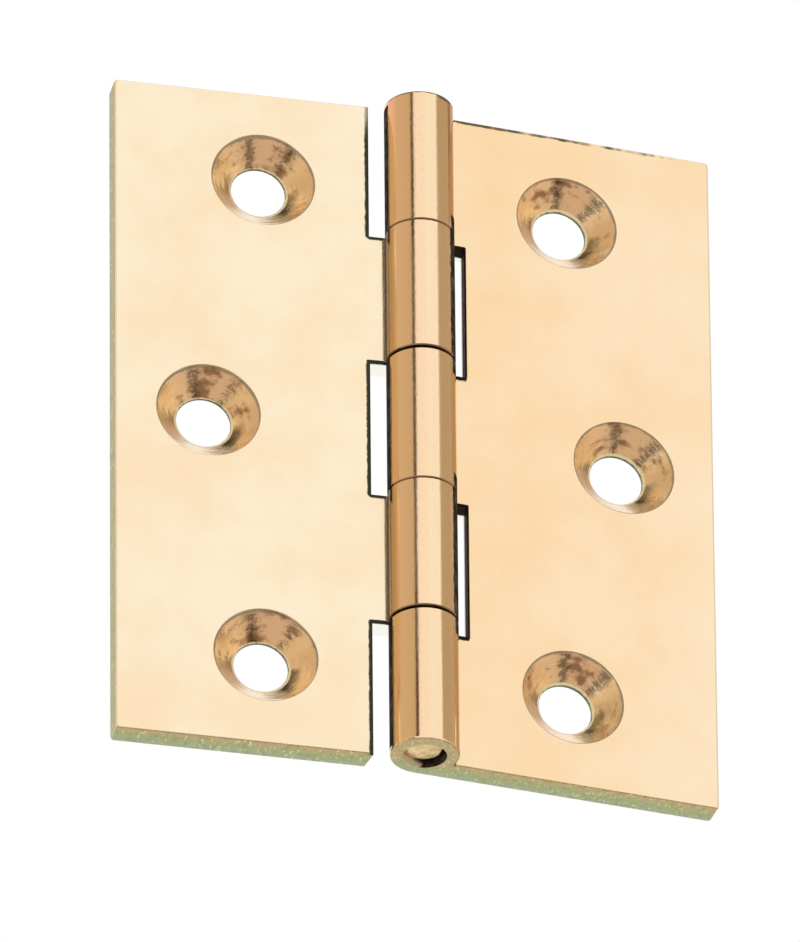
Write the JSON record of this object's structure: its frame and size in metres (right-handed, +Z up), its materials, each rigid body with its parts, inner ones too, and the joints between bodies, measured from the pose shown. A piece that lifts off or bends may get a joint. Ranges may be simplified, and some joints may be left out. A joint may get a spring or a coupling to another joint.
{
  "type": "butt hinge",
  "caption": "Flat milled brass butt hinge: two plain leaves with interlocking solid knuckles on a flush pin, and countersunk screw holes staggered along each leaf.",
  "frame": {"origin": "on the back face of the fixed leaf, midway between its two outer screw holes", "axes": "+Z up along the pin, +Y out of the back faces of the leaves (into the frame post), +X from the pin out along the fixed leaf"},
  "size_m": [0.0488, 0.0081, 0.0601],
  "materials": {
    "fixed_leaf": "milled, satin polished",
    "swing_leaf": "milled, satin polished",
    "hinge_pin": "drawn, plain"
  },
  "bodies": {
    "fixed_side": {"fixed_leaf": "fixed_leaf", "hinge_pin": "hinge_pin"},
    "swing_side": {"swing_leaf": "swing_leaf"}
  },
  "joints": [
    {"name": "swing", "type": "hinge", "parent": "fixed_side", "child": "swing_side", "pos_m": [-0.0125, -0.00275, 0], "axis": [0, 0, 1], "range_deg": [-83.8, 186.2]}
  ]
}
